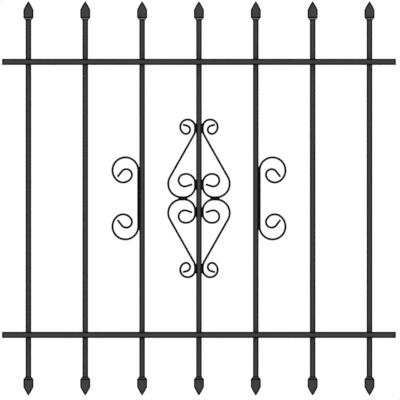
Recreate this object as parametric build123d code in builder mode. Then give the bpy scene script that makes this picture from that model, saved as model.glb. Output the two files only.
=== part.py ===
from build123d import *
import os
from math import cos, radians, sin

# A welded window grille of square steel bars. The uprights end in forged spears, and two rails cross in front
# of them. Scrolls of flat strip fill the middle: two hearts round the middle bar, one point up and one point
# down, and a C-scroll outside each of its neighbours. X runs across the window, -Y faces the street and Z is
# up. The origin is the middle of the grille. All sizes are in millimetres and degrees.

# Uprights and rails
bar_count = 7
bar_size = 12.7
bar_spacing = 130.0
bar_overrun = 95.0  # from a rail's centreline to the bar's end
rail_size = 14.0
rail_spacing = 624.0
rail_overrun = 60.0  # from the outer bar's centreline to the rail's end
corner_radius = 1.5  # rolled corners of bars and rails

# Spears
spear_width = 23.0
spear_thickness = 6.5
spear_edge = 1.0  # rounding left by the forging
neck_height = 6.5
blade_height = 17.5
point_height = 20.2
point_bow = 100.0  # radius of the point's curved outline

# Strip of the scrolls
strip_thickness = 4.8
strip_depth = 12.7
strip_arris = 0.8  # broken edges, front and back

# Lower curl of a heart scroll; every radius is to the strip's centreline
twin_seat = 5.0  # flat where the upper and the lower scroll meet
hip_radius = 25.5
hip_seat = 7.0  # flat against the middle bar
curl_radius = 21.0
curl_turn = 113.0
curl_eye_radius = 14.0
curl_eye_turn = 175.0
curl_tail = 13.5

# Stem and upper curl of a heart scroll
belly_radius = 31.0
stem_lean = 29.5  # from upright
shoulder_radius = 28.5
crown_seat = 5.5  # flat against the middle bar
crown_radius = 17.0
crown_turn = 238.0
crown_eye_radius = 9.5
crown_eye_turn = 196.0
crown_tail = 10.0

# C-scroll
side_seat = 128.5  # straight run against the bar
side_radius = 29.5
side_turn = 233.0
side_inner_radius = 21.0
side_inner_turn = 100.0
side_eye_radius = 13.0
side_eye_turn = 169.0
side_tail = 16.0

# Weld beads
rail_bead_leg = 4.5
rail_bead_bow = 7.0  # radius of the bead's rounded face
bead_inset = 1.5  # how far a bead stops short of the edges that it joins
wedge_start = 4.0  # a wedge bead starts and ends this far past the flat that it follows
wedge_end = 9.0
wedge_width = 2.5

# Places that follow from the sizes
rail_y = -bar_size / 2
bar_y = rail_size / 2
joint_y = rail_y + rail_size / 2  # where the rails' backs meet the fronts of the bars
bar_places = [(number - (bar_count - 1) / 2) * bar_spacing for number in range(bar_count)]
bar_length = rail_spacing + 2 * bar_overrun
bar_top = bar_length / 2
rail_length = bar_places[-1] - bar_places[0] + 2 * rail_overrun
middle = bar_count // 2
middle_x = bar_places[middle]
neighbour_x = bar_places[middle - 1]
seat_offset = (bar_size + strip_thickness) / 2  # from a bar's axis to the strip that lies against it

# The upright plane through the bars' axes, seen from the street, and the one that halves the scrollwork
bar_plane = Plane.XZ.offset(-bar_y)
heart_plane = Plane.YZ.offset(middle_x)

os.makedirs("parts", exist_ok=True)


def save(piece, name):
    """Label a finished piece and write it."""
    piece.part.label = name
    export_step(piece.part, f"parts/{name}.step")


def mirrored(piece, plane):
    """The same piece on the other side of a plane."""
    with BuildPart() as twin:
        mirror(piece.part, about=plane)
    return twin


def rolled_bar(plane, size, length):
    """A square bar with rolled corners, half of it on each side of the plane."""
    with BuildPart() as bar:
        with BuildSketch(plane):
            RectangleRounded(size, size, corner_radius)
        extrude(amount=length / 2, both=True)
    return bar


def forged_spear(x):
    """The spear on the bar at x, whose neck swells from the bar's section to a flat, pointed blade."""
    blade_base = bar_top + neck_height
    half_width = spear_width / 2
    with BuildPart() as spear:
        with BuildSketch(Plane((x, bar_y, blade_base), x_dir=(1, 0, 0), z_dir=(0, -1, 0))):
            with BuildLine():
                left = Line((-half_width, 0), (-half_width, blade_height))
                left_bow = RadiusArc(left @ 1, (0, blade_height + point_height), point_bow)
                right_bow = RadiusArc(left_bow @ 1, (half_width, blade_height), point_bow)
                right = Line(right_bow @ 1, (half_width, 0))
                Line(right @ 1, left @ 0)
            make_face()
        extrude(amount=spear_thickness / 2, both=True)
        outline = spear.faces().filter_by(Axis.Y).edges()
        fillet(outline.filter_by(lambda edge: edge.center().Z > blade_base + spear_edge), spear_edge)
        with BuildSketch(Plane((x, bar_y, bar_top))):
            RectangleRounded(bar_size, bar_size, corner_radius)
        with BuildSketch(Plane((x, bar_y, blade_base))):
            RectangleRounded(spear_width, spear_thickness, spear_edge)
        loft()
    return spear


def straight(edge, length):
    """A straight run on from the end of an edge."""
    return Line(edge @ 1, edge @ 1 + (edge % 1) * length)


def bend(edge, radius, turn):
    """A bend on from the end of an edge, to the left where the turn is positive."""
    return JernArc(edge @ 1, edge % 1, radius, turn)


# Rails
rail_plane = Plane((0, rail_y, rail_spacing / 2), x_dir=(0, 1, 0), z_dir=(1, 0, 0))
top_rail = rolled_bar(rail_plane, rail_size, rail_length)
save(top_rail, "top_rail")
save(mirrored(top_rail, Plane.XY), "bottom_rail")

# Uprights with a spear on each end
for number, x in enumerate(bar_places, start=1):
    save(rolled_bar(Plane((x, bar_y, 0)), bar_size, bar_length), f"bar_{number}")
    top_spear = forged_spear(x)
    save(top_spear, f"top_spear_{number}")
    save(mirrored(top_spear, Plane.XY), f"bottom_spear_{number}")

# Heart scroll on the upper left of the middle bar, with a stem that brings the shoulder against the bar
lean = radians(stem_lean)
stem_reach = hip_radius + twin_seat + belly_radius * cos(lean) - shoulder_radius * (1 - cos(lean))
stem_length = stem_reach / sin(lean)
twin_x = middle_x - seat_offset - hip_radius
with BuildPart() as upper_left_heart:
    with BuildSketch(bar_plane):
        with BuildLine():
            twin_flat = Line((twin_x, strip_thickness / 2), (twin_x - twin_seat, strip_thickness / 2))
            belly = bend(twin_flat, belly_radius, -90 - stem_lean)
            stem = straight(belly, stem_length)
            shoulder = bend(stem, shoulder_radius, stem_lean)
            crown_flat = straight(shoulder, crown_seat)
            crown = bend(crown_flat, crown_radius, crown_turn)
            crown_eye = bend(crown, crown_eye_radius, crown_eye_turn)
            straight(crown_eye, crown_tail)
            hip = JernArc(twin_flat @ 0, (1, 0), hip_radius, 90)
            hip_flat = straight(hip, hip_seat)
            curl = bend(hip_flat, curl_radius, curl_turn)
            curl_eye = bend(curl, curl_eye_radius, curl_eye_turn)
            straight(curl_eye, curl_tail)
        trace(line_width=strip_thickness)
    extrude(amount=strip_depth / 2, both=True)
    chamfer(upper_left_heart.faces().filter_by(Axis.Y).edges(), strip_arris)
lower_left_heart = mirrored(upper_left_heart, Plane.XY)
save(upper_left_heart, "upper_left_heart_scroll")
save(mirrored(upper_left_heart, heart_plane), "upper_right_heart_scroll")
save(lower_left_heart, "lower_left_heart_scroll")
save(mirrored(lower_left_heart, heart_plane), "lower_right_heart_scroll")

# C-scroll outside the bar on the left of the middle one, drawn from its half height
side_x = neighbour_x - seat_offset
with BuildPart() as left_side_scroll:
    with BuildSketch(bar_plane):
        with BuildLine():
            side_flat = Line((side_x, 0), (side_x, side_seat / 2))
            side_curl = bend(side_flat, side_radius, side_turn)
            side_inner = bend(side_curl, side_inner_radius, side_inner_turn)
            side_eye = bend(side_inner, side_eye_radius, side_eye_turn)
            straight(side_eye, side_tail)
            mirror(about=Plane.XZ)
        trace(line_width=strip_thickness)
    extrude(amount=strip_depth / 2, both=True)
    chamfer(left_side_scroll.faces().filter_by(Axis.Y).edges(), strip_arris)
save(left_side_scroll, "left_side_scroll")
save(mirrored(left_side_scroll, heart_plane), "right_side_scroll")

# Beads in the corners behind the rails, one on each side of each bar
bead_near = bar_size / 2 + corner_radius
bead_far = bar_size / 2 + rail_bead_leg
with BuildSketch() as rail_bead_pair:
    with BuildLine():
        rail_leg = Line((bead_near, joint_y), (bead_far, joint_y))
        bead_face = RadiusArc(rail_leg @ 1, (bar_size / 2, joint_y + rail_bead_leg), -rail_bead_bow)
        bar_leg = Line(bead_face @ 1, (bar_size / 2, joint_y + corner_radius))
        Line(bar_leg @ 1, rail_leg @ 0)
    make_face()
    mirror(about=Plane.YZ)
with BuildPart() as top_rail_beads:
    with BuildSketch(Plane.XY.offset(rail_spacing / 2)):
        with Locations([(x, 0) for x in bar_places]):
            add(rail_bead_pair.sketch)
    extrude(amount=rail_size / 2 - bead_inset, both=True)
save(top_rail_beads, "top_rail_welds")
save(mirrored(top_rail_beads, Plane.XY), "bottom_rail_welds")

# Beads that fill the narrow wedges past the ends of each flat, first on the left of the middle bar
wedge_length = wedge_end - wedge_start
wedge_middle = (wedge_start + wedge_end) / 2
bar_wedges = [
    (middle_x - (bar_size + wedge_width) / 2, height)
    for height in (
        (hip_flat @ 0).Y - wedge_middle,
        (hip_flat @ 1).Y + wedge_middle,
        (crown_flat @ 0).Y - wedge_middle,
        (crown_flat @ 1).Y + wedge_middle,
    )
]
twin_wedges = [((twin_flat @ 0).X + wedge_middle, 0), ((twin_flat @ 1).X - wedge_middle, 0)]
with BuildPart() as left_heart_beads:
    with BuildSketch(bar_plane):
        with Locations(*bar_wedges):
            Rectangle(wedge_width, wedge_length)
        mirror(about=Plane.XZ)
        with Locations(*twin_wedges):
            Rectangle(wedge_length, 2 * wedge_width)
    extrude(amount=strip_depth / 2 - bead_inset, both=True)
    add([upper_left_heart.part, lower_left_heart.part], mode=Mode.SUBTRACT)

with BuildPart() as left_side_beads:
    with BuildSketch(bar_plane):
        with Locations((neighbour_x - (bar_size + wedge_width) / 2, side_seat / 2 + wedge_middle)):
            Rectangle(wedge_width, wedge_length)
        mirror(about=Plane.XZ)
    extrude(amount=strip_depth / 2 - bead_inset, both=True)
    add(left_side_scroll.part, mode=Mode.SUBTRACT)

with BuildPart() as scroll_beads:
    add([left_heart_beads.part, left_side_beads.part])
    mirror(about=heart_plane)
save(scroll_beads, "scroll_welds")
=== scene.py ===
from math import atan2, ceil, cos, pi, radians, sin, sqrt

import bmesh
import bpy
from mathutils import Matrix, Vector


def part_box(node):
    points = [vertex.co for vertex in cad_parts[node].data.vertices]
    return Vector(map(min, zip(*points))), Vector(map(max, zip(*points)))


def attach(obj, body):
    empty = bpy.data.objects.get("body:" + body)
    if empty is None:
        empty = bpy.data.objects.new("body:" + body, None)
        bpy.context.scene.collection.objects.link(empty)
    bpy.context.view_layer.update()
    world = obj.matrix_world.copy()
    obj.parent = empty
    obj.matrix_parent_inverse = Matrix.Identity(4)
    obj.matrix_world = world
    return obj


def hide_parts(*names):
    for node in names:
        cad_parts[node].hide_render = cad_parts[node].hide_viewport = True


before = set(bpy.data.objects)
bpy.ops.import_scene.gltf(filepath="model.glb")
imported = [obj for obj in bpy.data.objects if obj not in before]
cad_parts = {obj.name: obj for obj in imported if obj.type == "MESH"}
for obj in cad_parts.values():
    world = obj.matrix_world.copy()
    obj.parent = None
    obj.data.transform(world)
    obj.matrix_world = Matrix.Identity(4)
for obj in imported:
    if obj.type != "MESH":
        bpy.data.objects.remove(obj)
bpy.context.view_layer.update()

bl_info = {
    "name": "Window grille",
    "version": (1, 0, 0),
    "blender": (4, 5, 0),
    "location": "3D Viewport > Sidebar > Grille",
    "description": "Dresses a welded window grille with coats, scrolls, spears, weld beads and a studio",
    "category": "Object",
}

BODY = "root"
BAR_NAMES = sorted(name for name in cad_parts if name.startswith("bar_"))
TOP_SPEARS = sorted(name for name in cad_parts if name.startswith("top_spear_"))
BOTTOM_SPEARS = sorted(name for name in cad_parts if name.startswith("bottom_spear_"))
MIDDLE_BAR = BAR_NAMES[len(BAR_NAMES) // 2]
NEIGHBOUR_BAR = BAR_NAMES[len(BAR_NAMES) // 2 - 1]


def middle(node):
    """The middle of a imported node's box."""
    low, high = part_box(node)
    return (low + high) / 2


def half_size(node):
    """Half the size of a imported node's box."""
    low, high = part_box(node)
    return (high - low) / 2


BAR_PLACES = [middle(name).x for name in BAR_NAMES]
BAR_SPACING = BAR_PLACES[1] - BAR_PLACES[0]
BAR_HALF = half_size(MIDDLE_BAR)
BAR_Y = middle(MIDDLE_BAR).y
RAIL_HALF = half_size("top_rail")
RAIL_MIDDLE = middle("top_rail")
JOINT_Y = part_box("top_rail")[1].y
SPEAR_HALF = half_size(TOP_SPEARS[0])
STRIP_DEPTH = 2 * half_size("left_side_scroll").y


def length(name, description, default):
    """A size in metres that a user may change."""
    return bpy.props.FloatProperty(
        name=name, description=description, default=default, min=0, precision=5, unit="LENGTH"
    )


def turn(name, description, degrees):
    """An angle that a user may change."""
    return bpy.props.FloatProperty(
        name=name, description=description, default=radians(degrees), subtype="ANGLE"
    )


def share(name, description, default):
    """A share from 0 to 1."""
    return bpy.props.FloatProperty(
        name=name, description=description, default=default, min=0, max=1, subtype="FACTOR"
    )


def shift(name, description, default):
    """A distance in metres to either side."""
    return bpy.props.FloatProperty(
        name=name, description=description, default=default, precision=5, unit="LENGTH"
    )


def watts(name, description, default):
    """The power of a light in watts."""
    return bpy.props.FloatProperty(name=name, description=description, default=default, min=0, unit="POWER")


def colour(name, description, default):
    """A linear colour."""
    return bpy.props.FloatVectorProperty(
        name=name, description=description, default=default, min=0, max=1, size=3, subtype="COLOR"
    )


class CoatSettings(bpy.types.PropertyGroup):
    """Colours and grain of the powder coats."""

    face: colour("Face", "Charcoal of the bars' and spears' faces", (0.0583, 0.0578, 0.0566))
    rail: colour("Rail", "Charcoal of the rails' faces", (0.0602, 0.0554, 0.0503))
    # Painted shade: the coat turns near-black over every edge, standing in for the shade along the rolled
    # corners.
    edge: colour("Edge", "Near-black of the coat over the edges", (0.0030, 0.0029, 0.0028))
    # Painted shade: the thin scroll strips take the near-black of the painted edge shade all over.
    scroll: colour("Scroll", "Near-black of the scrolls", (0.0018, 0.0017, 0.0016))
    # Painted shade: the weld beads in the corners and wedges are near-black, as the painted edge shade is.
    bead: colour("Weld bead", "Coat over the weld beads", (0.0025, 0.0024, 0.0023))
    edge_width: length("Edge width", "How far the dark edge reaches over a face", 0.0032)
    edge_softness: length("Edge softness", "Half width of the step from edge to face", 0.001)
    roughness: share("Roughness", "Roughness of the coat on a face", 0.5)
    gloss: share("Gloss", "Gloss of the coat", 0.08)
    # Painted highlight on the spears' necks: the coat there is paler, metallic and smoother, to make a
    # bright band under the top light.
    neck_highlight: share("Neck wear", "How much steel shows through the coat on the spears' necks", 1.0)
    neck_smoothing: share("Neck smoothing", "How much less rough the worn necks are", 0.15)
    neck_painted_highlight: share("Neck lift", "How much paler the worn necks are", 1.0)
    grain: length("Grain", "Size of the coat's orange peel", 0.0014)


class SpearSettings(bpy.types.PropertyGroup):
    """Sizes of the forged spears."""

    neck: length("Neck", "Height of the neck", 0.0065)
    blade: length("Blade", "Height of the blade's straight sides", 0.0175)
    thickness: length("Thickness", "Thickness of the blade", 0.0065)
    bow: length("Bow", "Radius of the point's outline", 0.100)
    rounding: length("Rounding", "Rounding of the blade's edges", 0.001)
    bar_rounding: length("Bar rounding", "Rolled corners of the bar", 0.0015)
    hammer: length("Hammer depth", "Depth of the marks left by the hammer", 0.00012)
    hammer_scale: bpy.props.FloatProperty(
        name="Hammer scale", description="How many marks fit in a metre, roughly", default=210, min=1
    )


class ScrollSettings(bpy.types.PropertyGroup):
    """Sizes of the scrolls; every radius is to the strip's centreline."""

    thickness: length("Strip thickness", "Thickness of the flat strip", 0.0048)
    arris: length("Arris", "Rounding of the strip's edges", 0.0008)
    bend_step: turn("Bend step", "Turn from one section of a bend to the next", 3)
    twin_seat: length("Twin seat", "Flat where the upper and lower heart meet", 0.005)
    hip_radius: length("Hip radius", "Bend from the twin to the middle bar", 0.0255)
    hip_seat: length("Hip seat", "Flat of the hip against the middle bar", 0.007)
    curl_radius: length("Curl radius", "Outer bend of the lower curl", 0.021)
    curl_turn: turn("Curl turn", "Turn of that bend", 113)
    curl_eye_radius: length("Curl eye radius", "Inner bend of the lower curl", 0.014)
    curl_eye_turn: turn("Curl eye turn", "Turn of that bend", 175)
    curl_tail: length("Curl tail", "Straight end of the lower curl", 0.0135)
    belly_radius: length("Belly radius", "Bend from the twin to the stem", 0.031)
    stem_lean: turn("Stem lean", "Lean of the stem from upright", 29.5)
    shoulder_radius: length("Shoulder radius", "Bend from the stem to the middle bar", 0.0285)
    crown_seat: length("Crown seat", "Flat of the crown against the middle bar", 0.0055)
    crown_radius: length("Crown radius", "Outer bend of the upper curl", 0.017)
    crown_turn: turn("Crown turn", "Turn of that bend", 238)
    crown_eye_radius: length("Crown eye radius", "Inner bend of the upper curl", 0.0095)
    crown_eye_turn: turn("Crown eye turn", "Turn of that bend", 196)
    crown_tail: length("Crown tail", "Straight end of the upper curl", 0.010)
    side_seat: length("Side seat", "Straight run of a side scroll against its bar", 0.1285)
    side_radius: length("Side radius", "Outer bend of a side scroll", 0.0295)
    side_turn: turn("Side turn", "Turn of that bend", 233)
    side_inner_radius: length("Side inner radius", "Middle bend of a side scroll", 0.021)
    side_inner_turn: turn("Side inner turn", "Turn of that bend", 100)
    side_eye_radius: length("Side eye radius", "Inner bend of a side scroll", 0.013)
    side_eye_turn: turn("Side eye turn", "Turn of that bend", 169)
    side_tail: length("Side tail", "Straight end of a side scroll", 0.016)


class BeadSettings(bpy.types.PropertyGroup):
    """Sizes of the weld beads."""

    leg: length("Leg", "Leg of a bead behind a rail", 0.0045)
    bow: length("Bow", "Radius of that bead's rounded face", 0.007)
    inset: length("Inset", "How far a bead stops short of the edges that it joins", 0.0015)
    wedge_start: length("Wedge start", "Where a wedge bead starts past the flat", 0.0015)
    wedge_end: length("Wedge end", "Where a wedge bead ends past the flat", 0.009)
    pitch: length("Pitch", "Distance from one ripple to the next", 0.0012)
    overlap: bpy.props.FloatProperty(
        name="Overlap", description="Thickness of a ripple as a share of the pitch", default=1.7, min=1
    )
    waist: share("Waist", "Size of a ripple's sides as a share of its middle", 0.82)
    unevenness: share("Unevenness", "How much smaller than the largest ripple the smallest may be", 0.08)
    seed: bpy.props.IntProperty(name="Seed", description="Seed of the ripples' unevenness", default=7, min=0)


class StudioSettings(bpy.types.PropertyGroup):
    """Camera, floor and lights."""

    view_width: length("View width", "Width seen at the grille", 0.9145)
    view_x: shift("View X", "Where the camera looks, across", 0.0024)
    view_z: shift("View Z", "Where the camera looks, up", -0.0037)
    camera_distance: length("Camera distance", "From the grille to the camera", 25.0)
    floor_drop: length("Floor drop", "From the grille's middle to the floor", 0.6)
    floor_size: length("Floor size", "Side of the square floor", 8.4)
    floor_clear: length("Floor clear", "From the middle to where the floor starts to fade away", 1.6)
    floor_colour: colour("Floor colour", "Pale floor", (0.86, 0.86, 0.85))
    ambient: share("Ambient", "Share of the surround's light that reaches the grille", 0.2)
    side_power: watts("Side lights", "Power of each front side light", 72)
    back_power: watts("Back lights", "Power of each back side light", 60)
    top_power: watts("Top light", "Power of the light above the front", 34)


SETTINGS = {
    "grille_coat": CoatSettings,
    "grille_spear": SpearSettings,
    "grille_scroll": ScrollSettings,
    "grille_bead": BeadSettings,
    "grille_studio": StudioSettings,
}


# Meshes and node trees


def link_object(name, data):
    """A new object in the scene."""
    made = bpy.data.objects.new(name, data)
    bpy.context.scene.collection.objects.link(made)
    return made


def line_object(name, runs):
    """An object of plain edges, one chain for each run of points."""
    points = [point for run in runs for point in run]
    edges = []
    start = 0
    for run in runs:
        edges += [(start + step, start + step + 1) for step in range(len(run) - 1)]
        start += len(run)
    mesh = bpy.data.meshes.new(name)
    mesh.from_pydata(points, edges, [])
    return link_object(name, mesh)


def plain_piece(source, name):
    """The evaluated source as a plain mesh in an object of its own, in place of the source."""
    depsgraph = bpy.context.evaluated_depsgraph_get()
    mesh = bpy.data.meshes.new_from_object(
        source.evaluated_get(depsgraph), preserve_all_data_layers=True, depsgraph=depsgraph
    )
    old_data = source.data
    bpy.data.objects.remove(source)
    bpy.data.meshes.remove(old_data)
    mesh.name = name
    return link_object(name, mesh)


class Tree:
    """A node tree under construction."""

    def __init__(self, tree):
        self.tree = tree

    def add(self, kind, settings=None, **values):
        """A node with its settings, and its sockets set or linked by name, spaces written as underscores."""
        node = self.tree.nodes.new(kind)
        for key, value in (settings or {}).items():
            setattr(node, key, value)
        for key, value in values.items():
            self.feed(node.inputs[key.replace("_", " ")], value)
        return node

    def feed(self, socket, value):
        """Links an output to the socket, or sets the socket's constant."""
        if isinstance(value, bpy.types.NodeSocket):
            self.tree.links.new(value, socket)
        else:
            socket.default_value = value

    def math(self, operation, *values):
        """The result of a Math node."""
        node = self.add("ShaderNodeMath", {"operation": operation})
        for socket, value in zip(node.inputs, values):
            self.feed(socket, value)
        return node.outputs[0]

    def scaled(self, vector, factor):
        """A vector or colour times a factor."""
        node = self.add("ShaderNodeVectorMath", {"operation": "SCALE"}, Scale=factor)
        self.feed(node.inputs[0], vector)
        return node.outputs["Vector"]

    def vector_length(self, vector):
        """The length of a vector."""
        node = self.add("ShaderNodeVectorMath", {"operation": "LENGTH"})
        self.feed(node.inputs[0], vector)
        return node.outputs["Value"]

    def smooth_step(self, value, low, high):
        """How far the value is on its way from low to high, from 0 to 1, with a soft start and end."""
        way = {"interpolation_type": "SMOOTHSTEP"}
        node = self.add("ShaderNodeMapRange", way, Value=value, From_Min=low, From_Max=high)
        return node.outputs["Result"]

    def noise(self, **values):
        """The grey value of a Noise Texture."""
        return self.add("ShaderNodeTexNoise", **values).outputs["Fac"]

    def attribute(self, name):
        """The number that each point of a piece carries under the name, in a material."""
        return self.add("ShaderNodeAttribute", {"attribute_name": name}).outputs["Fac"]

    def named_attribute(self, name, kind):
        """What each point carries under the name, in a geometry tree."""
        node = self.add("GeometryNodeInputNamedAttribute", {"data_type": kind}, Name=name)
        return node.outputs["Attribute"]


def geometry_tree(name, inputs):
    """A geometry tree with a geometry input and output, and the named inputs as (name, socket kind)."""
    tree = bpy.data.node_groups.new(name, "GeometryNodeTree")
    tree.interface.new_socket("Geometry", in_out="INPUT", socket_type="NodeSocketGeometry")
    tree.interface.new_socket("Geometry", in_out="OUTPUT", socket_type="NodeSocketGeometry")
    for label, kind in inputs:
        tree.interface.new_socket(label, in_out="INPUT", socket_type=kind)
    maker = Tree(tree)
    return maker, maker.add("NodeGroupInput"), maker.add("NodeGroupOutput")


def end_tree(maker, geometry, start, end):
    """Ends a geometry tree with its Material input on the geometry."""
    coated = maker.add("GeometryNodeSetMaterial", Geometry=geometry, Material=start.outputs["Material"])
    maker.feed(end.inputs["Geometry"], coated.outputs["Geometry"])
    return maker.tree


def run_tree(source, tree, values):
    """Puts the tree on the source, with each named input set by its socket's identifier."""
    modifier = source.modifiers.new(tree.name, "NODES")
    modifier.node_group = tree
    for item in tree.interface.items_tree:
        if item.item_type == "SOCKET" and item.in_out == "INPUT" and item.name in values:
            modifier[item.identifier] = values[item.name]


def skin(work, rings):
    """Faces from each ring of vertices to the next."""
    for lower, upper in zip(rings, rings[1:]):
        for here in range(len(lower)):
            after = (here + 1) % len(lower)
            work.faces.new((lower[here], lower[after], upper[after], upper[here]))


def closed_mesh(work, name):
    """The finished bmesh as a smooth mesh with its faces outwards."""
    bmesh.ops.recalc_face_normals(work, faces=work.faces)
    for face in work.faces:
        face.smooth = True
    mesh = bpy.data.meshes.new(name)
    work.to_mesh(mesh)
    work.free()
    return mesh


def finish_piece(piece, slot, *nodes):
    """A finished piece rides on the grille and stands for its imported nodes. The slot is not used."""
    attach(piece, BODY)
    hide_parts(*nodes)


# Materials

MOTTLE_SCALE = 38.0  # soft patches in the coat, about so many to a metre
MOTTLE_TONE = 0.14  # how much they differ in tone
MOTTLE_ROUGHNESS = 0.16  # and in roughness
SPECKLE_SCALE = 420.0  # fine specks in the coat
SPECKLE_TONE = 0.08
EDGE_ROUGHNESS = 0.85
PEEL_STRENGTH = 0.35
PEEL_DEPTH = 0.00006


def coat_material(name, face, settings, edge_distance=None, painted_highlight=None):
    """Powder coat: a face colour with painted shade that darkens it over the edges, fine orange peel and
    slight mottling.

    edge_distance is a function that adds nodes to the tree and returns the distance in metres from a point
    to the nearest edge of its face, over which the painted edge shade falls. Without it the whole piece is
    one colour. painted_highlight is such a function for where the necks take a painted highlight, and needs
    edge_distance beside it.
    """
    material = bpy.data.materials.new(name)
    material.use_nodes = True
    tree = Tree(material.node_tree)
    shader = material.node_tree.nodes["Principled BSDF"]
    place = tree.add("ShaderNodeTexCoord").outputs["Object"]

    mottle = tree.noise(Vector=place, Scale=MOTTLE_SCALE, Detail=3.0, Roughness=0.6)
    speckle = tree.noise(Vector=place, Scale=SPECKLE_SCALE, Detail=2.0, Roughness=0.5)
    peel = tree.noise(Vector=place, Scale=1 / settings.grain, Detail=1.5, Roughness=0.45)
    bump = tree.add("ShaderNodeBump", Strength=PEEL_STRENGTH, Distance=PEEL_DEPTH, Height=peel)

    tone = tree.math(
        "MULTIPLY",
        tree.math("MULTIPLY_ADD", mottle, MOTTLE_TONE, 1 - MOTTLE_TONE / 2),
        tree.math("MULTIPLY_ADD", speckle, SPECKLE_TONE, 1 - SPECKLE_TONE / 2),
    )
    body_colour = tuple(face)
    smoothest = settings.roughness - MOTTLE_ROUGHNESS / 2
    # painted shade: the face colour blends into the near-black edge colour over the edges
    if edge_distance:
        low = settings.edge_width - settings.edge_softness
        high = settings.edge_width + settings.edge_softness
        on_face = tree.smooth_step(edge_distance(tree, place), low, high)
        blend = tree.add("ShaderNodeMix", {"data_type": "RGBA"}, Factor=on_face)
        tree.feed(blend.inputs[6], (*settings.edge, 1))  # the first of its two colours
        tree.feed(blend.inputs[7], (*face, 1))  # and the second
        body_colour = blend.outputs[2]
        smoothest_edge = EDGE_ROUGHNESS - MOTTLE_ROUGHNESS / 2
        smoothest = tree.math("MULTIPLY_ADD", on_face, smoothest - smoothest_edge, smoothest_edge)
    rough = tree.math("MULTIPLY_ADD", mottle, MOTTLE_ROUGHNESS, smoothest)
    # painted highlight: paler, metallic and smoother coat on the necks
    if painted_highlight:
        highlight_mask = tree.math("MULTIPLY", painted_highlight(tree), on_face)
        rough = tree.math("MULTIPLY_ADD", highlight_mask, -settings.neck_smoothing, rough)
        tone = tree.math("MULTIPLY", tone, tree.math("MULTIPLY_ADD", highlight_mask, settings.neck_painted_highlight, 1.0))
        tree.feed(shader.inputs["Metallic"], tree.math("MULTIPLY", highlight_mask, settings.neck_highlight))

    tree.feed(shader.inputs["Base Color"], tree.scaled(body_colour, tone))
    tree.feed(shader.inputs["Roughness"], rough)
    tree.feed(shader.inputs["Specular IOR Level"], settings.gloss)
    tree.feed(shader.inputs["Normal"], bump.outputs["Normal"])
    return material


def plain_coat(name, face, settings):
    """A coat of one colour, made once for all the pieces that wear it."""
    return bpy.data.materials.get(name) or coat_material(name, face, settings)


def second_smallest(tree, x, y, z):
    """The middle one of three values. On a box's face one distance is 0, so this is the way to the edge."""
    low = tree.math("MINIMUM", x, y)
    high = tree.math("MAXIMUM", x, y)
    return tree.math("MAXIMUM", low, tree.math("MINIMUM", high, z))


def bar_edge_distance(tree, place):
    """Distance to the nearest upright edge of a bar; the bars repeat at their spacing."""
    parts = tree.add("ShaderNodeSeparateXYZ", Vector=place)
    across = tree.math("WRAP", parts.outputs["X"], BAR_SPACING / 2, -BAR_SPACING / 2)
    across = tree.math("SUBTRACT", BAR_HALF.x, tree.math("ABSOLUTE", across))
    deep = tree.math("SUBTRACT", parts.outputs["Y"], BAR_Y)
    deep = tree.math("SUBTRACT", BAR_HALF.y, tree.math("ABSOLUTE", deep))
    return tree.math("MAXIMUM", across, deep)


def rail_edge_distance(tree, place):
    """Distance to the nearest edge of a rail, its sawn ends too."""
    parts = tree.add("ShaderNodeSeparateXYZ", Vector=place)
    along = tree.math("SUBTRACT", RAIL_HALF.x, tree.math("ABSOLUTE", parts.outputs["X"]))
    deep = tree.math("SUBTRACT", parts.outputs["Y"], RAIL_MIDDLE.y)
    deep = tree.math("SUBTRACT", RAIL_HALF.y, tree.math("ABSOLUTE", deep))
    up = tree.math("SUBTRACT", tree.math("ABSOLUTE", parts.outputs["Z"]), RAIL_MIDDLE.z)
    up = tree.math("SUBTRACT", RAIL_HALF.z, tree.math("ABSOLUTE", up))
    return second_smallest(tree, along, deep, up)


def spear_edge_distance(tree, place):
    """Distance that the spear's own mesh carries."""
    return tree.attribute(EDGE_ATTRIBUTE)


def neck_highlight(tree):
    """Where the painted highlight goes: 1 on the necks and 0 on the blades, as the spear's own mesh carries
    it.
    """
    return tree.attribute(NECK_ATTRIBUTE)


def dress_nodes(names, material):
    """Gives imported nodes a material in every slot."""
    for name in names:
        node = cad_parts[name]
        if not node.material_slots:
            node.data.materials.append(material)
        for slot in node.material_slots:
            slot.material = material


# Spears

EDGE_ATTRIBUTE = "edge_distance"
NECK_ATTRIBUTE = "neck"
NECK_RINGS = 8
BLADE_RINGS = 16
POINT_RINGS = 26
ACROSS_STEPS = 8
CORNER_STEPS = 5
LOW_LINE_SHARE = 1.15  # the painted shade line where neck and bar meet is thinner than those along the edges by this much
HIGH_LINE_SHARE = 2.0  # and the line where neck and blade meet by this much, on each side of it
NECK_SIDE_SHARE = 3.0  # and the lines down the neck's sides by this much
TIP_HALF_WIDTH = 1e-6  # of the last ring, which is merged into one edge
MERGE_DISTANCE = 2e-6
SMALLEST_EDGE = 1e-7
MARKS_START = 0.004  # the hammer marks fade in over this height above the bar's end
MARKS_RIM = 0.002  # and over this distance from a painted shade line
MARKS_LEVEL = 0.6  # of the noise, above which a mark stands out and below which it sinks in


def point_half_width(spear, height):
    """Half width of the spear's point and the slope of its outline, at a height above the neck."""
    half_width = SPEAR_HALF.x
    point = 2 * SPEAR_HALF.z - spear.neck - spear.blade
    chord = Vector((-half_width, point))
    middle_of_chord = Vector((half_width / 2, spear.blade + point / 2))
    inward = Vector((-point, -half_width)).normalized()
    centre = middle_of_chord + inward * sqrt(spear.bow**2 - (chord.length / 2) ** 2)
    rise = height - centre.y
    reach = sqrt(spear.bow**2 - rise**2)
    return max(centre.x + reach, 0), atan2(rise, reach)


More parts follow.
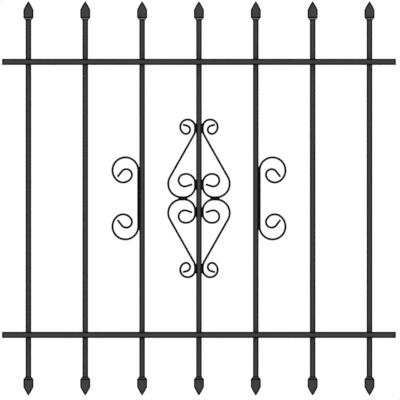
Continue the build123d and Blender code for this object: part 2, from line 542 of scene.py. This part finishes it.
def quarter_section(half_width, half_depth, rounding_x, rounding_y):
    """A quarter of a rounded section as (x, y, inset), from the middle of its back to that of its side."""
    flat = max(half_width - rounding_x, 0)
    insets = [half_width - flat * step / ACROSS_STEPS for step in range(ACROSS_STEPS)]
    for step in range(CORNER_STEPS + 1):
        insets.append(min(rounding_x * (1 - sin(pi / 2 * step / CORNER_STEPS)), half_width))
    section = []
    for inset in insets:
        part = max(1 - inset / rounding_x, 0)
        section.append((half_width - inset, half_depth - rounding_y * (1 - sqrt(1 - part * part)), inset))
    section.append((half_width, 0, 0))
    return section


def full_section(quarter):
    """The whole ring of points from its quarter, anticlockwise seen from the tip."""
    back_right = [(x, y, inset) for x, y, inset in reversed(quarter)]
    back_left = [(-x, y, inset) for x, y, inset in quarter[1:]]
    front_left = [(-x, -y, inset) for x, y, inset in reversed(quarter[:-1])]
    front_right = [(x, -y, inset) for x, y, inset in quarter[1:-1]]
    return back_right + back_left + front_left + front_right


def spear_rings(spear):
    """The spear's rings from the bar's end up, each as (height, section, distance to a painted shade line,
    lean, neck).
    """
    rings = []
    bar_half = BAR_HALF.x
    blade_half = SPEAR_HALF.x
    blade_depth = spear.thickness / 2
    for step in range(NECK_RINGS + 1):
        part = step / NECK_RINGS
        height = part * spear.neck
        half_width = bar_half + (blade_half - bar_half) * part
        half_depth = bar_half + (blade_depth - bar_half) * part
        rounding = spear.bar_rounding + (spear.rounding - spear.bar_rounding) * part
        quarter = quarter_section(half_width, half_depth, rounding, rounding)
        line = min(LOW_LINE_SHARE * height, HIGH_LINE_SHARE * (spear.neck - height))
        rings.append((height, full_section(quarter), line, NECK_SIDE_SHARE, 1.0))
    for step in range(1, BLADE_RINGS + 1):
        height = spear.blade * step / BLADE_RINGS
        quarter = quarter_section(blade_half, blade_depth, spear.rounding, spear.rounding)
        rings.append((spear.neck + height, full_section(quarter), HIGH_LINE_SHARE * height, 1.0, 0.0))
    point = 2 * SPEAR_HALF.z - spear.neck - spear.blade
    for step in range(1, POINT_RINGS + 1):
        height = spear.blade + point * sin(pi / 2 * step / POINT_RINGS)
        half_width, slope = point_half_width(spear, height)
        half_width = max(half_width, TIP_HALF_WIDTH)
        quarter = quarter_section(half_width, blade_depth, spear.rounding / cos(slope), spear.rounding)
        rings.append((spear.neck + height, full_section(quarter), HIGH_LINE_SHARE * height, cos(slope), 0.0))
    return rings


def spear_mesh(spear):
    """One spear on the origin. Each vertex carries its distance to a painted shade line, and 1 on the neck,
    where the painted highlight goes.
    """
    work = bmesh.new()
    edge_layer = work.verts.layers.float.new(EDGE_ATTRIBUTE)
    neck_layer = work.verts.layers.float.new(NECK_ATTRIBUTE)
    rows = []
    for height, section, line, lean, neck in spear_rings(spear):
        row = []
        for x, y, inset in section:
            vertex = work.verts.new((x, y, height))
            # painted shade lines along the edges and where the neck meets bar and blade
            vertex[edge_layer] = min(line, inset * lean)
            vertex[neck_layer] = neck
            row.append(vertex)
        rows.append(row)
    skin(work, rows)
    work.faces.new(reversed(rows[0]))
    bmesh.ops.remove_doubles(work, verts=work.verts, dist=MERGE_DISTANCE)
    bmesh.ops.dissolve_degenerate(work, edges=work.edges, dist=SMALLEST_EDGE)
    return closed_mesh(work, "forged_spear")


def spear_tree():
    """Sets a spear on every point, turned over below the middle, each with hammer marks of its own."""
    maker, start, end = geometry_tree(
        "forged_spears",
        [
            ("Spear", "NodeSocketObject"),
            ("Hammer Depth", "NodeSocketFloat"),
            ("Hammer Scale", "NodeSocketFloat"),
            ("Seam Height", "NodeSocketFloat"),
            ("Material", "NodeSocketMaterial"),
        ],
    )
    position = maker.add("GeometryNodeInputPosition").outputs["Position"]
    height = maker.add("ShaderNodeSeparateXYZ", Vector=position).outputs["Z"]
    below = maker.add("FunctionNodeCompare", {"data_type": "FLOAT", "operation": "LESS_THAN"})
    maker.feed(below.inputs[0], height)
    turned = maker.add("GeometryNodeSwitch", {"input_type": "VECTOR"}, Switch=below.outputs["Result"])
    turned.inputs["False"].default_value = (0, 0, 0)
    turned.inputs["True"].default_value = (0, pi, 0)
    spear = maker.add("GeometryNodeObjectInfo", Object=start.outputs["Spear"], As_Instance=True)
    placed = maker.add(
        "GeometryNodeInstanceOnPoints",
        Points=start.outputs["Geometry"],
        Instance=spear.outputs["Geometry"],
        Rotation=turned.outputs["Output"],
    )
    real = maker.add("GeometryNodeRealizeInstances", Geometry=placed.outputs["Instances"])

    marks = maker.noise(Scale=start.outputs["Hammer Scale"], Detail=1.0, Roughness=0.4)
    depth = maker.math("MULTIPLY", maker.math("SUBTRACT", marks, MARKS_LEVEL), start.outputs["Hammer Depth"])
    seam = start.outputs["Seam Height"]
    clear = maker.smooth_step(maker.math("ABSOLUTE", height), seam, maker.math("ADD", seam, MARKS_START))
    rim = maker.named_attribute(EDGE_ATTRIBUTE, "FLOAT")
    inner = maker.add("ShaderNodeMapRange", Value=rim, From_Max=MARKS_RIM).outputs["Result"]
    depth = maker.math("MULTIPLY", maker.math("MULTIPLY", depth, clear), inner)
    offset = maker.scaled(maker.add("GeometryNodeInputNormal").outputs["Normal"], depth)
    marked = maker.add("GeometryNodeSetPosition", Geometry=real.outputs["Geometry"], Offset=offset)
    return end_tree(maker, marked.outputs["Geometry"], start, end)


class GRILLE_OT_spears(bpy.types.Operator):
    """Forge the spears on both ends of every bar"""

    bl_idname = "grille.spears"
    bl_label = "Spears"

    def execute(self, context):
        spear = context.scene.grille_spear
        coat = context.scene.grille_coat
        one = link_object("one_spear", spear_mesh(spear))
        material = coat_material("spear_coat", coat.face, coat, spear_edge_distance, neck_highlight)
        for name, sign, nodes in (("top_spears", 1, TOP_SPEARS), ("bottom_spears", -1, BOTTOM_SPEARS)):
            source = line_object(name, [[(x, BAR_Y, sign * BAR_HALF.z)] for x in BAR_PLACES])
            run_tree(
                source,
                spear_tree(),
                {
                    "Spear": one,
                    "Hammer Depth": spear.hammer,
                    "Hammer Scale": spear.hammer_scale,
                    "Seam Height": BAR_HALF.z,
                    "Material": material,
                },
            )
            finish_piece(plain_piece(source, name), "bar_coat", *nodes)
        bpy.data.meshes.remove(one.data)  # and with it the object
        return {"FINISHED"}


# Bars and rails


class GRILLE_OT_bars(bpy.types.Operator):
    """Coat the seven upright bars"""

    bl_idname = "grille.bars"
    bl_label = "Upright bars"

    def execute(self, context):
        coat = context.scene.grille_coat
        material = coat_material("bar_coat", coat.face, coat, bar_edge_distance)
        dress_nodes(BAR_NAMES, material)
        return {"FINISHED"}


class GRILLE_OT_rails(bpy.types.Operator):
    """Coat the two rails"""

    bl_idname = "grille.rails"
    bl_label = "Rails"

    def execute(self, context):
        coat = context.scene.grille_coat
        material = coat_material("rail_coat", coat.rail, coat, rail_edge_distance)
        dress_nodes(("top_rail", "bottom_rail"), material)
        return {"FINISHED"}


# Scrolls

ARRIS_STEPS = 4
CRISP_ANGLE = radians(50)  # sharper corners aren't shaded smooth


class Trail:
    """The centreline of a bent strip, in the upright plane: x across and z up."""

    def __init__(self, x, z, heading, step):
        self.points = [Vector((x, z))]
        self.heading = Vector(heading)
        self.step = step

    def straight(self, distance):
        """Runs straight on."""
        self.points.append(self.points[-1] + self.heading * distance)

    def bend(self, radius, angle):
        """Bends on, to the left where the angle is positive."""
        side = 1 if angle > 0 else -1
        centre = self.points[-1] + side * radius * Vector((-self.heading.y, self.heading.x))
        count = ceil(abs(angle) / self.step)
        spoke = self.points[-1] - centre
        for number in range(1, count + 1):
            self.points.append(centre + Matrix.Rotation(angle * number / count, 2) @ spoke)
        self.heading = Matrix.Rotation(angle, 2) @ self.heading


def heart_trail(scroll):
    """The upper left heart scroll's centreline, and the heights where its hip and crown lie on the bar."""
    reach = BAR_HALF.x + scroll.thickness / 2
    twin_x = middle(MIDDLE_BAR).x - reach - scroll.hip_radius
    twin_z = scroll.thickness / 2
    lean = scroll.stem_lean
    across = scroll.hip_radius + scroll.twin_seat
    across += scroll.belly_radius * cos(lean) - scroll.shoulder_radius * (1 - cos(lean))
    upper = Trail(twin_x, twin_z, (-1, 0), scroll.bend_step)
    upper.straight(scroll.twin_seat)
    upper.bend(scroll.belly_radius, -pi / 2 - lean)
    upper.straight(across / sin(lean))
    upper.bend(scroll.shoulder_radius, lean)
    crown_low = upper.points[-1].y
    upper.straight(scroll.crown_seat)
    upper.bend(scroll.crown_radius, scroll.crown_turn)
    upper.bend(scroll.crown_eye_radius, scroll.crown_eye_turn)
    upper.straight(scroll.crown_tail)
    lower = Trail(twin_x, twin_z, (1, 0), scroll.bend_step)
    lower.bend(scroll.hip_radius, pi / 2)
    hip_low = lower.points[-1].y
    lower.straight(scroll.hip_seat)
    lower.bend(scroll.curl_radius, scroll.curl_turn)
    lower.bend(scroll.curl_eye_radius, scroll.curl_eye_turn)
    lower.straight(scroll.curl_tail)
    seats = [(hip_low, hip_low + scroll.hip_seat), (crown_low, crown_low + scroll.crown_seat)]
    return lower.points[::-1] + upper.points[1:], seats


def side_trail(scroll):
    """The left side scroll's centreline."""
    x = middle(NEIGHBOUR_BAR).x - BAR_HALF.x - scroll.thickness / 2
    upper = Trail(x, 0, (0, 1), scroll.bend_step)
    upper.straight(scroll.side_seat / 2)
    upper.bend(scroll.side_radius, scroll.side_turn)
    upper.bend(scroll.side_inner_radius, scroll.side_inner_turn)
    upper.bend(scroll.side_eye_radius, scroll.side_eye_turn)
    upper.straight(scroll.side_tail)
    lower = [Vector((point.x, -point.y)) for point in upper.points[:0:-1]]
    return lower + upper.points


def strip_tree():
    """Sweeps a flat strip with rounded edges along a centreline in an upright plane."""
    maker, start, end = geometry_tree(
        "bent_strip",
        [
            ("Thickness", "NodeSocketFloat"),
            ("Depth", "NodeSocketFloat"),
            ("Arris", "NodeSocketFloat"),
            ("Arris Steps", "NodeSocketInt"),
            ("Material", "NodeSocketMaterial"),
        ],
    )
    path = maker.add("GeometryNodeMeshToCurve", Mesh=start.outputs["Geometry"])
    level = maker.add(
        "GeometryNodeSetCurveNormal", {"mode": "FREE"}, Curve=path.outputs["Curve"], Normal=(0, 1, 0)
    )
    section = maker.add(
        "GeometryNodeCurvePrimitiveQuadrilateral",
        {"mode": "RECTANGLE"},
        Width=start.outputs["Depth"],
        Height=start.outputs["Thickness"],
    )
    rounded = maker.add(
        "GeometryNodeFilletCurve",
        {"mode": "POLY"},
        Curve=section.outputs["Curve"],
        Radius=start.outputs["Arris"],
        Count=start.outputs["Arris Steps"],
    )
    swept = maker.add(
        "GeometryNodeCurveToMesh",
        Curve=level.outputs["Curve"],
        Profile_Curve=rounded.outputs["Curve"],
        Fill_Caps=True,
    )
    smooth = maker.add("GeometryNodeSetShadeSmooth", Geometry=swept.outputs["Mesh"], Shade_Smooth=True)
    angle = maker.add("GeometryNodeInputMeshEdgeAngle").outputs["Unsigned Angle"]
    corner = maker.add("FunctionNodeCompare", {"data_type": "FLOAT", "operation": "GREATER_THAN"})
    maker.feed(corner.inputs[0], angle)
    corner.inputs[1].default_value = CRISP_ANGLE
    crisp = maker.add(
        "GeometryNodeSetShadeSmooth",
        {"domain": "EDGE"},
        Geometry=smooth.outputs["Geometry"],
        Selection=corner.outputs["Result"],
        Shade_Smooth=False,
    )
    real = maker.add("GeometryNodeRealizeInstances", Geometry=crisp.outputs["Geometry"])
    return end_tree(maker, real.outputs["Geometry"], start, end)


def bend_strip(name, trail, side, end, scroll, material):
    """A strip bent along the trail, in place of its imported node; side and end (1 or -1) mirror it."""
    source = line_object(f"{name}_strip", [[(side * point.x, BAR_Y, end * point.y) for point in trail]])
    run_tree(
        source,
        strip_tree(),
        {
            "Thickness": scroll.thickness,
            "Depth": STRIP_DEPTH,
            "Arris": scroll.arris,
            "Arris Steps": ARRIS_STEPS,
            "Material": material,
        },
    )
    weighted = source.modifiers.new("Flat faces", "WEIGHTED_NORMAL")
    weighted.keep_sharp = True
    finish_piece(plain_piece(source, f"{name}_strip"), "scroll_coat", f"{name}_scroll")


class GRILLE_OT_hearts(bpy.types.Operator):
    """Bend the four heart scrolls beside the middle bar"""

    bl_idname = "grille.hearts"
    bl_label = "Heart scrolls"

    def execute(self, context):
        scroll = context.scene.grille_scroll
        coat = context.scene.grille_coat
        # painted shade: near-black all over the strips
        material = plain_coat("scroll_coat_black", coat.scroll, coat)
        trail = heart_trail(scroll)[0]
        for end_name, end in (("upper", 1), ("lower", -1)):
            for side_name, side in (("left", 1), ("right", -1)):
                bend_strip(f"{end_name}_{side_name}_heart", trail, side, end, scroll, material)
        return {"FINISHED"}


class GRILLE_OT_sides(bpy.types.Operator):
    """Bend the two side scrolls"""

    bl_idname = "grille.sides"
    bl_label = "Side scrolls"

    def execute(self, context):
        scroll = context.scene.grille_scroll
        coat = context.scene.grille_coat
        # painted shade: near-black all over the strips
        material = plain_coat("scroll_coat_black", coat.scroll, coat)
        trail = side_trail(scroll)
        for side_name, side in (("left", 1), ("right", -1)):
            bend_strip(f"{side_name}_side", trail, side, 1, scroll, material)
        return {"FINISHED"}


# Weld beads

ARC_STEPS = 6
RIPPLE_RINGS = 6
REACH_ATTRIBUTE = "reach"
SIZE_ATTRIBUTE = "size"
WEDGE_RADIUS = 0.025  # the bend that the wedge ripple is drawn for; other bends stretch it


def corner_outline(bead, bar_rounding):
    """Outline of a bead in a square corner: two legs, a rounded face and a cut over the rolled corner."""
    half_chord = bead.leg / sqrt(2)
    centre = bead.leg / 2 - sqrt(bead.bow**2 - half_chord**2) / sqrt(2)
    low = atan2(-centre, bead.leg - centre)
    outline = [(bar_rounding, 0)]
    for step in range(ARC_STEPS + 1):
        angle = low + (pi / 2 - 2 * low) * step / ARC_STEPS
        outline.append((centre + bead.bow * cos(angle), centre + bead.bow * sin(angle)))
    outline.append((0, bar_rounding))
    return outline


def wedge_outline(bead):
    """Outline of a bead in the wedge between a flat and a bend that leaves it, with a hollow outer face."""
    def gap(past_flat):
        return WEDGE_RADIUS - sqrt(WEDGE_RADIUS**2 - past_flat**2)

    outline = [(bead.wedge_start, 0)]
    widest = gap(bead.wedge_end)
    for step in range(ARC_STEPS + 1):
        part = step / ARC_STEPS
        outline.append((bead.wedge_end - widest * sin(pi * part) / 2, widest * part))
    for step in range(1, ARC_STEPS + 1):
        past_flat = bead.wedge_end + (bead.wedge_start - bead.wedge_end) * step / ARC_STEPS
        outline.append((past_flat, gap(past_flat)))
    return outline


def ripple_object(name, outline, anchor, bead):
    """One ripple of weld metal: a slice with the outline that shrinks to the anchor on both its sides."""
    work = bmesh.new()
    rings = []
    for step in range(RIPPLE_RINGS + 1):
        angle = pi * (step / RIPPLE_RINGS - 0.5)
        size = bead.waist + (1 - bead.waist) * cos(angle)
        height = bead.pitch * bead.overlap / 2 * sin(angle)
        rings.append([work.verts.new((anchor + (x - anchor) * size, y * size, height)) for x, y in outline])
    skin(work, rings)
    work.faces.new(rings[0])
    work.faces.new(rings[-1])
    return link_object(name, closed_mesh(work, name))


def ripple_tree():
    """Lays ripples of slightly uneven size side by side along each path."""
    maker, start, end = geometry_tree(
        "weld_ripples",
        [
            ("Ripple", "NodeSocketObject"),
            ("Pitch", "NodeSocketFloat"),
            ("Unevenness", "NodeSocketFloat"),
            ("Seed", "NodeSocketInt"),
            ("Material", "NodeSocketMaterial"),
        ],
    )
    path = maker.add("GeometryNodeMeshToCurve", Mesh=start.outputs["Geometry"])
    places = maker.add(
        "GeometryNodeResampleCurve",
        {"mode": "LENGTH"},
        Curve=path.outputs["Curve"],
        Length=start.outputs["Pitch"],
    )
    turned = maker.add("FunctionNodeAxesToRotation", {"primary_axis": "Z", "secondary_axis": "X"})
    maker.feed(turned.inputs[0], maker.add("GeometryNodeInputTangent").outputs["Tangent"])
    maker.feed(turned.inputs[1], maker.named_attribute(REACH_ATTRIBUTE, "FLOAT_VECTOR"))
    uneven = maker.add("FunctionNodeRandomValue", {"data_type": "FLOAT"}, Seed=start.outputs["Seed"])
    maker.feed(uneven.inputs[2], maker.math("SUBTRACT", 1.0, start.outputs["Unevenness"]))
    uneven.inputs[3].default_value = 1
    size = maker.named_attribute(SIZE_ATTRIBUTE, "FLOAT_VECTOR")
    ripple = maker.add("GeometryNodeObjectInfo", Object=start.outputs["Ripple"], As_Instance=True)
    laid = maker.add(
        "GeometryNodeInstanceOnPoints",
        Points=places.outputs["Curve"],
        Instance=ripple.outputs["Geometry"],
        Rotation=turned.outputs["Rotation"],
        Scale=maker.scaled(size, uneven.outputs[1]),
    )
    real = maker.add("GeometryNodeRealizeInstances", Geometry=laid.outputs["Instances"])
    return end_tree(maker, real.outputs["Geometry"], start, end)


def lay_beads(name, ripple, beads, half_run, context, node):
    """Lays beads as (corner, reach, rise, stretch), each centred on its corner, square to reach and rise."""
    bead = context.scene.grille_bead
    coat = context.scene.grille_coat
    half_path = half_run - bead.pitch * bead.overlap / 2
    runs = []
    for corner, reach, rise, stretch in beads:
        run = reach.cross(rise) * half_path
        runs.append([corner - run, corner + run])
    source = line_object(name, runs)
    reaches = source.data.attributes.new(REACH_ATTRIBUTE, "FLOAT_VECTOR", "POINT")
    sizes = source.data.attributes.new(SIZE_ATTRIBUTE, "FLOAT_VECTOR", "POINT")
    for number, (corner, reach, rise, stretch) in enumerate(beads):
        for end in (2 * number, 2 * number + 1):
            reaches.data[end].vector = reach
            sizes.data[end].vector = (1, stretch, 1)
    # the beads' near-black coat is painted shade
    run_tree(
        source,
        ripple_tree(),
        {
            "Ripple": ripple,
            "Pitch": bead.pitch,
            "Unevenness": bead.unevenness,
            "Seed": bead.seed,
            "Material": plain_coat("weld_coat_black", coat.bead, coat),
        },
    )
    finish_piece(plain_piece(source, name), "weld_coat", node)


class GRILLE_OT_rail_beads(bpy.types.Operator):
    """Lay the weld beads behind the rails, beside every bar"""

    bl_idname = "grille.rail_beads"
    bl_label = "Rail weld beads"

    def execute(self, context):
        bead = context.scene.grille_bead
        outline = corner_outline(bead, context.scene.grille_spear.bar_rounding)
        ripple = ripple_object("corner_ripple", outline, 0, bead)
        half_run = RAIL_HALF.z - bead.inset
        for name, sign in (("top_rail", 1), ("bottom_rail", -1)):
            beads = []
            for x in BAR_PLACES:
                for side in (-1, 1):
                    corner = Vector((x + side * BAR_HALF.x, JOINT_Y, sign * RAIL_MIDDLE.z))
                    beads.append((corner, Vector((side, 0, 0)), Vector((0, 1, 0)), 1))
            lay_beads(f"{name}_beads", ripple, beads, half_run, context, f"{name}_welds")
        bpy.data.meshes.remove(ripple.data)  # and with it the object
        return {"FINISHED"}


class GRILLE_OT_scroll_beads(bpy.types.Operator):
    """Lay the weld beads in the wedges where scrolls touch bars and one another"""

    bl_idname = "grille.scroll_beads"
    bl_label = "Scroll weld beads"

    def execute(self, context):
        scroll = context.scene.grille_scroll
        bead = context.scene.grille_bead
        hip, crown = heart_trail(scroll)[1]
        bar_side = middle(MIDDLE_BAR).x - BAR_HALF.x
        twin_x = bar_side - scroll.thickness / 2 - scroll.hip_radius
        neighbour_side = middle(NEIGHBOUR_BAR).x - BAR_HALF.x
        up = Vector((0, 0, 1))
        left = Vector((-1, 0, 0))
        wedges = [
            (bar_side, hip[0], -up, left, scroll.hip_radius),
            (bar_side, hip[1], up, left, scroll.curl_radius),
            (bar_side, crown[0], -up, left, scroll.shoulder_radius),
            (bar_side, crown[1], up, left, scroll.crown_radius),
            (twin_x, 0, -left, up, scroll.hip_radius),
            (twin_x - scroll.twin_seat, 0, left, up, scroll.belly_radius),
            (neighbour_side, scroll.side_seat / 2, up, left, scroll.side_radius),
        ]
        beads = []
        for x, z, reach, rise, radius in wedges:
            stretch = WEDGE_RADIUS / (radius + scroll.thickness / 2)
            for side in (1, -1):
                for end in (1, -1):
                    turned = Matrix.Diagonal((side, 1, end))
                    beads.append((turned @ Vector((x, BAR_Y, z)), turned @ reach, turned @ rise, stretch))
        ripple = ripple_object("wedge_ripple", wedge_outline(bead), bead.wedge_start, bead)
        lay_beads("scroll_beads", ripple, beads, STRIP_DEPTH / 2 - bead.inset, context, "scroll_welds")
        bpy.data.meshes.remove(ripple.data)  # and with it the object
        return {"FINISHED"}


# Studio

# Soft lights as (place, width, height) in metres. Those in front and behind stand on the right, and each has
# a twin on the left.
FRONT_LIGHT = (Vector((3.2, -3.8, 0.6)), 2.8, 1.8)
BACK_LIGHT = (Vector((2.2, 4.0, 1.6)), 3.0, 3.0)
TOP_LIGHT = (Vector((0, -1.5, 3.2)), 1.6, 1.6)

FLOOR_MOTTLE_SCALE = 3.0
FLOOR_MOTTLE_TONE = 0.02
FLOOR_ROUGHNESS = 0.9
FLOOR_GLOSS = 0.1


def soft_light(name, light, side, power):
    """A soft light that faces the grille, on its own side (1) or mirrored (-1)."""
    place, width, height = light
    data = bpy.data.lights.new(name, "AREA")
    data.shape = "RECTANGLE"
    data.size = width
    data.size_y = height
    data.energy = power
    lamp = link_object(name, data)
    lamp.location = Vector((side * place.x, place.y, place.z))
    lamp.rotation_euler = (-lamp.location).to_track_quat("-Z", "Y").to_euler()


def floor_material(studio):
    """Plain pale floor with a very faint mottle, which fades away into the surround."""
    material = bpy.data.materials.new("floor")
    material.use_nodes = True
    tree = Tree(material.node_tree)
    shader = material.node_tree.nodes["Principled BSDF"]
    place = tree.add("ShaderNodeTexCoord").outputs["Object"]
    mottle = tree.noise(Vector=place, Scale=FLOOR_MOTTLE_SCALE, Detail=4.0)
    tone = tree.math("MULTIPLY_ADD", mottle, FLOOR_MOTTLE_TONE, 1 - FLOOR_MOTTLE_TONE / 2)
    faded = tree.smooth_step(tree.vector_length(place), studio.floor_clear, studio.floor_size / 2)
    tree.feed(shader.inputs["Base Color"], tree.scaled(tuple(studio.floor_colour), tone))
    tree.feed(shader.inputs["Alpha"], tree.math("SUBTRACT", 1.0, faded))
    shader.inputs["Roughness"].default_value = FLOOR_ROUGHNESS
    shader.inputs["Specular IOR Level"].default_value = FLOOR_GLOSS
    return material


def make_floor(studio):
    """A square floor below the grille."""
    half = studio.floor_size / 2
    corners = [(-half, -half), (half, -half), (half, half), (-half, half)]
    mesh = bpy.data.meshes.new("floor")
    mesh.from_pydata([(x, y, -studio.floor_drop) for x, y in corners], [], [(0, 1, 2, 3)])
    mesh.materials.append(floor_material(studio))
    link_object("floor", mesh)


def make_world(studio):
    """A white surround that gives only a soft share of its light to the object."""
    world = bpy.data.worlds.new("studio")
    world.use_nodes = True
    tree = Tree(world.node_tree)
    background = world.node_tree.nodes["Background"]
    seen = tree.add("ShaderNodeLightPath").outputs["Is Camera Ray"]
    strength = tree.math("MULTIPLY_ADD", seen, 1 - studio.ambient, studio.ambient)
    background.inputs["Color"].default_value = (1, 1, 1, 1)
    tree.feed(background.inputs["Strength"], strength)
    bpy.context.scene.world = world


def make_camera(studio):
    """A distant camera with a long lens, square on to the grille."""
    data = bpy.data.cameras.new("camera")
    data.lens = data.sensor_width * studio.camera_distance / studio.view_width
    data.clip_end = 4 * studio.camera_distance  # well past the grille and the floor
    camera = link_object("camera", data)
    camera.location = (studio.view_x, -studio.camera_distance, studio.view_z)
    camera.rotation_euler = (pi / 2, 0, 0)
    bpy.context.scene.camera = camera


class GRILLE_OT_studio(bpy.types.Operator):
    """Set up the floor, the soft lights and the camera"""

    bl_idname = "grille.studio"
    bl_label = "Studio"

    def execute(self, context):
        studio = context.scene.grille_studio
        make_floor(studio)
        make_world(studio)
        make_camera(studio)
        for name, side in (("left", -1), ("right", 1)):
            soft_light(f"front_{name}_light", FRONT_LIGHT, side, studio.side_power)
            soft_light(f"back_{name}_light", BACK_LIGHT, side, studio.back_power)
        soft_light("top_light", TOP_LIGHT, 1, studio.top_power)
        context.scene.view_settings.view_transform = "Standard"
        return {"FINISHED"}


OPERATORS = (
    GRILLE_OT_studio,
    GRILLE_OT_bars,
    GRILLE_OT_rails,
    GRILLE_OT_spears,
    GRILLE_OT_hearts,
    GRILLE_OT_sides,
    GRILLE_OT_rail_beads,
    GRILLE_OT_scroll_beads,
)


class GRILLE_PT_panel(bpy.types.Panel):
    """Lists the grille's pieces and their sizes"""

    bl_idname = "GRILLE_PT_panel"
    bl_label = "Window grille"
    bl_space_type = "VIEW_3D"
    bl_region_type = "UI"
    bl_category = "Grille"

    def draw(self, context):
        for operator in OPERATORS:
            self.layout.operator(operator.bl_idname)
        for name in SETTINGS:
            group = getattr(context.scene, name)
            box = self.layout.box()
            for setting in group.__annotations__:
                box.prop(group, setting)


CLASSES = (*SETTINGS.values(), *OPERATORS, GRILLE_PT_panel)


def register():
    for kind in CLASSES:
        bpy.utils.register_class(kind)
    for name, kind in SETTINGS.items():
        setattr(bpy.types.Scene, name, bpy.props.PointerProperty(type=kind))


def unregister():
    for name in SETTINGS:
        delattr(bpy.types.Scene, name)
    for kind in reversed(CLASSES):
        bpy.utils.unregister_class(kind)


def main():
    """Dresses the grille."""
    register()
    bpy.ops.grille.studio()
    bpy.ops.grille.bars()
    bpy.ops.grille.rails()
    bpy.ops.grille.spears()
    bpy.ops.grille.hearts()
    bpy.ops.grille.sides()
    bpy.ops.grille.rail_beads()
    bpy.ops.grille.scroll_beads()


if __name__ == "__main__":
    main()
